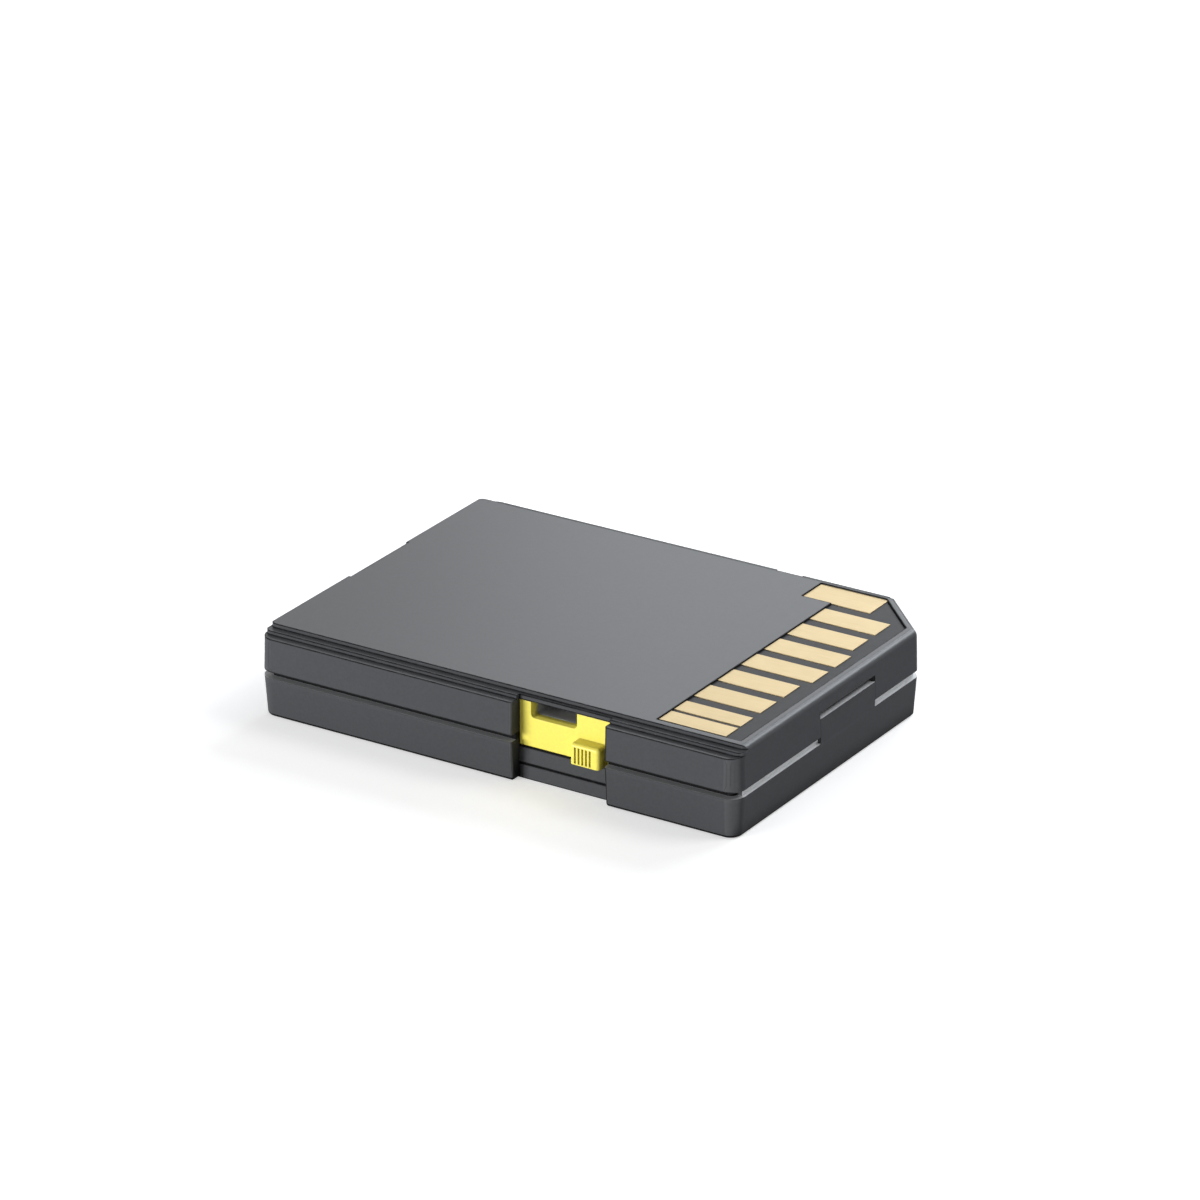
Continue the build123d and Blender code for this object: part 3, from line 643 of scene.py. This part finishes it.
def plated(name, colour, roughness, bloom_size, mark_size):
    """Metal with a faint uneven bloom, and fine marks drawn out along the way that cards slide."""
    material, tree, shader = new_material(name)
    place = object_place(tree)
    bloom = drawn_out(tree, noise(tree, place, 1.0 / bloom_size, 3.0))
    tint = mix_colours(tree, bloom, tinted(colour, BLOOM_TINT), colour)
    tree.links.new(tint, shader.inputs["Base Color"])
    shader.inputs["Metallic"].default_value = 1.0
    drawn = tree.nodes.new("ShaderNodeMapping")
    drawn.inputs["Scale"].default_value = MARK_STRETCH
    tree.links.new(place, drawn.inputs["Vector"])
    marks = noise(tree, drawn.outputs["Vector"], 1.0 / mark_size)
    gloss = drawn_out(tree, marks, roughness - MARK_GLOSS, roughness + MARK_GLOSS)
    tree.links.new(gloss, shader.inputs["Roughness"])
    bump_shader(tree, shader, marks, MARK_STRENGTH, MARK_DEPTH)
    return material


def board_laminate(look):
    """Solder mask over laminate, with copper traces showing through as lighter lines."""
    material, tree, shader = new_material("board_laminate")
    place = object_place(tree)
    traces = tree.nodes.new("ShaderNodeTexBrick")
    tree.links.new(place, traces.inputs["Vector"])
    traces.inputs["Scale"].default_value = 1.0
    traces.inputs["Mortar Size"].default_value = TRACE_MARGIN
    traces.inputs["Brick Width"].default_value = TRACE_CELL_LENGTH
    traces.inputs["Row Height"].default_value = TRACE_CELL_WIDTH
    traces.inputs["Color1"].default_value = full_colour(look.trace)
    traces.inputs["Color2"].default_value = full_colour(tinted(look.trace, TRACE_TINT))
    traces.inputs["Mortar"].default_value = full_colour(look.mask)
    tree.links.new(traces.outputs["Color"], shader.inputs["Base Color"])
    roughness = drawn_out(tree, noise(tree, place, BOARD_WAVES), *BOARD_ROUGHNESS)
    tree.links.new(roughness, shader.inputs["Roughness"])
    return material


def painted_tip_highlight(material, colour, piece):
    """Paint a highlight on the end of a piece that looks out of the near side."""
    tree = material.node_tree
    shader = tree.nodes["Principled BSDF"]
    body = shader.inputs["Base Color"].links[0].from_socket
    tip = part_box(piece)[0].y
    at_tip = span(tree, axes(tree, "Object")["Y"], tip + TONGUE_TIP, tip + TONGUE_TIP / 2)
    tree.links.new(mix_colours(tree, at_tip, body, colour), shader.inputs["Base Color"])
    return material


def chip_ends(name, colour, tin, row):
    """A row of small chip parts, each with tinned ends that are told by how far they lie from its middle."""
    material, tree, shader = new_material(name)
    first_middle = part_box(row)[0].x + CHIP_LENGTH / 2
    along = math_node(tree, "SUBTRACT", axes(tree, "Object")["X"], first_middle)
    from_middle = math_node(tree, "PINGPONG", along, CHIP_PITCH / 2)
    tinned_from = CHIP_LENGTH / 2 - TINNED_END
    ends = span(tree, from_middle, tinned_from, tinned_from + 0.03 * MILLIMETRE)
    speckle = noise(tree, object_place(tree), SPECKLE_WAVES)
    body = mix_colours(tree, drawn_out(tree, speckle), tinted(colour, SPECKLE_TINT), colour)
    tree.links.new(mix_colours(tree, ends, body, tin), shader.inputs["Base Color"])
    tree.links.new(drawn_out(tree, speckle, *CHIP_ROUGHNESS), shader.inputs["Roughness"])
    return material


class READER_OT_make_groups(bpy.types.Operator):
    """Build the shader groups that the finishes share"""

    bl_idname = "reader.make_groups"
    bl_label = "Make shared finishes"

    def execute(self, context):
        make_grain_group()
        make_edge_group()
        make_painted_shade_group()
        return {"FINISHED"}


class READER_OT_finish_case(bpy.types.Operator):
    """Finish both case halves and the inlay"""

    bl_idname = "reader.finish_case"
    bl_label = "Finish case"

    def execute(self, context):
        look = context.scene.reader_look.case
        surface = Surface(
            roughness=look.roughness,
            grain=look.grain,
            grain_depth=look.grain_depth,
            soft_edge=look.soft_edge,
            edge_line=look.edge_line,
            crevice=look.crevice,
            edge_tint=look.edge_tint,
        )
        satin = (look.satin, look.satin_roughness, look.gloss)
        rim = (look.rim, look.end_rim_painted_light)
        dress(moulded("case_plastic", look.plastic, surface, satin=satin), "upper_case")
        dress(moulded("case_plastic_lower", look.plastic, surface, rim=rim, satin=satin), "lower_case")
        inlay_surface = surface._replace(edge_tint=PLAIN_EDGE_TINT)
        inlay_satin = (look.satin * INLAY_SATIN, look.satin_roughness, look.gloss)
        dress(moulded("inlay_plastic", look.inlay, inlay_surface, satin=inlay_satin), "contact_inlay")
        return {"FINISHED"}


class READER_OT_finish_bezel(bpy.types.Operator):
    """Finish the yellow bezel and the lock slider"""

    bl_idname = "reader.finish_bezel"
    bl_label = "Finish bezel and slider"

    def execute(self, context):
        look = context.scene.reader_look.bezel
        case = context.scene.reader_look.case
        surface = Surface(
            roughness=look.roughness,
            grain=look.grain,
            grain_depth=look.grain_depth,
            soft_edge=case.soft_edge,
            edge_line=case.edge_line,
            crevice=look.crevice,
            edge_tint=look.edge_tint,
        )
        yellow = moulded("yellow_plastic", look.plastic, surface, ledge_shade=look.ledge_shade)
        dress(yellow, "side_bezel", "lock_slider")
        return {"FINISHED"}


class READER_OT_finish_metal(bpy.types.Operator):
    """Finish the plated pads, the contacts and the sheet metal"""

    bl_idname = "reader.finish_metal"
    bl_label = "Finish metal"

    def execute(self, context):
        look = context.scene.reader_look.metal
        gold = plated("gold_plate", look.gold, look.gold_roughness, look.bloom, look.marks)
        pads = [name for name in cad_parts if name.startswith("contact_pad")]
        dress(gold, *pads, "usb_contacts", "micro_socket_contacts", "card_socket_contacts")
        steel = plated("steel_sheet", look.steel, look.steel_roughness, look.bloom, look.marks)
        dress(steel, "usb_shell", "micro_socket_cover", "card_socket_cover", "crystal")
        return {"FINISHED"}


class READER_OT_finish_board(bpy.types.Operator):
    """Finish the circuit board, the socket frames and the small parts"""

    bl_idname = "reader.finish_board"
    bl_label = "Finish board"

    def execute(self, context):
        look = context.scene.reader_look.board
        case = context.scene.reader_look.case
        dress(board_laminate(look), "circuit_board")
        surface = Surface(
            roughness=look.black_roughness,
            grain=case.grain,
            grain_depth=case.grain_depth,
            soft_edge=case.soft_edge * SMALL_EDGE,
            edge_line=case.edge_line * SMALL_EDGE,
            crevice=case.crevice,
        )
        black = moulded("black_plastic", look.black, surface)
        dress(black, "micro_socket_frame", "card_socket_frame", "lock_switch_body")
        tongue = moulded("tongue_plastic", look.black, surface)
        # The tongue's end gets a painted highlight
        dress(painted_tip_highlight(tongue, look.tongue_tip_highlight, "usb_insulator"), "usb_insulator")
        white_surface = surface._replace(roughness=look.white_roughness)
        dress(moulded("white_plastic", look.white, white_surface), "lock_switch_lever")
        resin_surface = surface._replace(roughness=look.resin_roughness)
        dress(moulded("chip_resin", look.resin, resin_surface), "controller_chip", "memory_chip")
        dress(chip_ends("tan_ceramic", look.tan, look.tin, "capacitors"), "capacitors")
        dress(chip_ends("dark_ceramic", look.black, look.tin, "resistors"), "resistors")
        return {"FINISHED"}


def add_lamp(name, place, target, size, power, colour=WHITE):
    """A soft rectangular lamp that looks at a target."""
    data = bpy.data.lights.new(name, "AREA")
    data.shape = "RECTANGLE"
    data.size, data.size_y = size
    data.energy = power
    data.color = colour
    lamp = bpy.data.objects.new(name, data)
    lamp.location = place
    lamp.rotation_euler = (Vector(target) - Vector(place)).to_track_quat("-Z", "Y").to_euler()
    bpy.context.collection.objects.link(lamp)


def add_camera(look):
    """The photograph's camera."""
    data = bpy.data.cameras.new("photo_camera")
    data.lens = look.lens
    data.sensor_width = SENSOR_WIDTH
    data.clip_start = NEAREST_SEEN
    data.clip_end = FARTHEST_SEEN
    camera = bpy.data.objects.new("photo_camera", data)
    camera.location = look.place
    camera.rotation_euler = (math.pi / 2 - look.elevation, 0.0, look.azimuth)
    bpy.context.collection.objects.link(camera)
    return camera


def seen_directly(tree):
    """One for rays that show the background itself: from the camera, from gloss and through glass."""
    path = tree.nodes.new("ShaderNodeLightPath").outputs
    return largest(tree, path["Is Camera Ray"], path["Is Glossy Ray"], path["Is Transmission Ray"])


def clear_from_below(tree, shader):
    """Let a view from under the floor pass through it to the object."""
    clear = tree.nodes.new("ShaderNodeBsdfTransparent")
    choice = tree.nodes.new("ShaderNodeMixShader")
    tree.links.new(tree.nodes.new("ShaderNodeNewGeometry").outputs["Backfacing"], choice.inputs["Fac"])
    tree.links.new(shader.outputs["BSDF"], choice.inputs[1])
    tree.links.new(clear.outputs["BSDF"], choice.inputs[2])
    tree.links.new(choice.outputs["Shader"], tree.nodes["Material Output"].inputs["Surface"])


def floor_paper(look):
    """Plain pale paper that keeps the object's shadow."""
    material, tree, shader = new_material("floor_paper")
    shader.inputs["Base Color"].default_value = full_colour(look.floor)
    shader.inputs["Roughness"].default_value = 1.0
    shader.inputs["Specular IOR Level"].default_value = 0.0
    shader.inputs["Emission Color"].default_value = full_colour(WHITE)
    lift = product(tree, seen_directly(tree), look.lift)
    tree.links.new(lift, shader.inputs["Emission Strength"])
    clear_from_below(tree, shader)
    return material


def add_floor(look):
    """A wide floor, a hair under the object so that they share no plane."""
    shape = bmesh.new()
    bmesh.ops.create_grid(shape, x_segments=1, y_segments=1, size=FLOOR_REACH)
    mesh = bpy.data.meshes.new("floor")
    shape.to_mesh(mesh)
    shape.free()
    mesh.materials.append(floor_paper(look))
    floor = bpy.data.objects.new("floor", mesh)
    floor.location.z = -FLOOR_DROP
    bpy.context.collection.objects.link(floor)


def even_sky(look):
    """A world that looks white and lights the object faintly from all sides."""
    world = bpy.data.worlds.new("sky")
    world.use_nodes = True
    tree = world.node_tree
    backdrop = tree.nodes["Background"]
    backdrop.inputs["Color"].default_value = full_colour(WHITE)
    strength = math_node(tree, "MULTIPLY_ADD", seen_directly(tree), 1.0 - look.sky, look.sky)
    tree.links.new(strength, backdrop.inputs["Strength"])
    world.cycles.sampling_method = "NONE"
    return world


class READER_OT_set_stage(bpy.types.Operator):
    """Set the floor, the lamps, the sky and the camera"""

    bl_idname = "reader.set_stage"
    bl_label = "Set stage"

    def execute(self, context):
        look = context.scene.reader_look.stage
        add_floor(look)
        context.scene.world = even_sky(look)
        add_lamp("key_lamp", KEY_PLACE, BODY_MIDDLE, KEY_SIZE, look.key)
        add_lamp("side_lamp", SIDE_PLACE, BODY_MIDDLE, SIDE_SIZE, look.side)
        add_lamp("rim_lamp", RIM_PLACE, BODY_TOP, RIM_SIZE, look.rim, look.cool)
        add_lamp("back_lamp", BACK_PLACE, BODY_TOP, BACK_SIZE, look.back, look.cool)
        context.scene.camera = add_camera(look)
        context.scene.view_settings.view_transform = "Standard"
        return {"FINISHED"}


class READER_PT_panel(bpy.types.Panel):
    """Buttons and values for the card reader's looks"""

    bl_idname = "READER_PT_panel"
    bl_label = "Card reader"
    bl_space_type = "VIEW_3D"
    bl_region_type = "UI"
    bl_category = "Card reader"

    def draw(self, context):
        look = context.scene.reader_look
        for operator in OPERATORS:
            self.layout.operator(operator.bl_idname)
        for group in (look.case, look.bezel, look.metal, look.board, look.stage):
            box = self.layout.box()
            for name in group.__annotations__:
                box.prop(group, name)


OPERATORS = (
    READER_OT_make_groups,
    READER_OT_finish_case,
    READER_OT_finish_bezel,
    READER_OT_finish_metal,
    READER_OT_finish_board,
    READER_OT_set_stage,
)
CLASSES = (CaseLook, BezelLook, MetalLook, BoardLook, StageLook, ReaderLook, *OPERATORS, READER_PT_panel)


def register():
    """Register the classes and hang the values on the scene."""
    for cls in CLASSES:
        bpy.utils.register_class(cls)
    bpy.types.Scene.reader_look = PointerProperty(type=ReaderLook)


def unregister():
    """Take the values and the classes away again."""
    del bpy.types.Scene.reader_look
    for cls in reversed(CLASSES):
        bpy.utils.unregister_class(cls)


def main():
    """Register and run every operator in order."""
    register()
    bpy.ops.reader.make_groups()
    bpy.ops.reader.finish_case()
    bpy.ops.reader.finish_bezel()
    bpy.ops.reader.finish_metal()
    bpy.ops.reader.finish_board()
    bpy.ops.reader.set_stage()


if __name__ == "__main__":
    main()
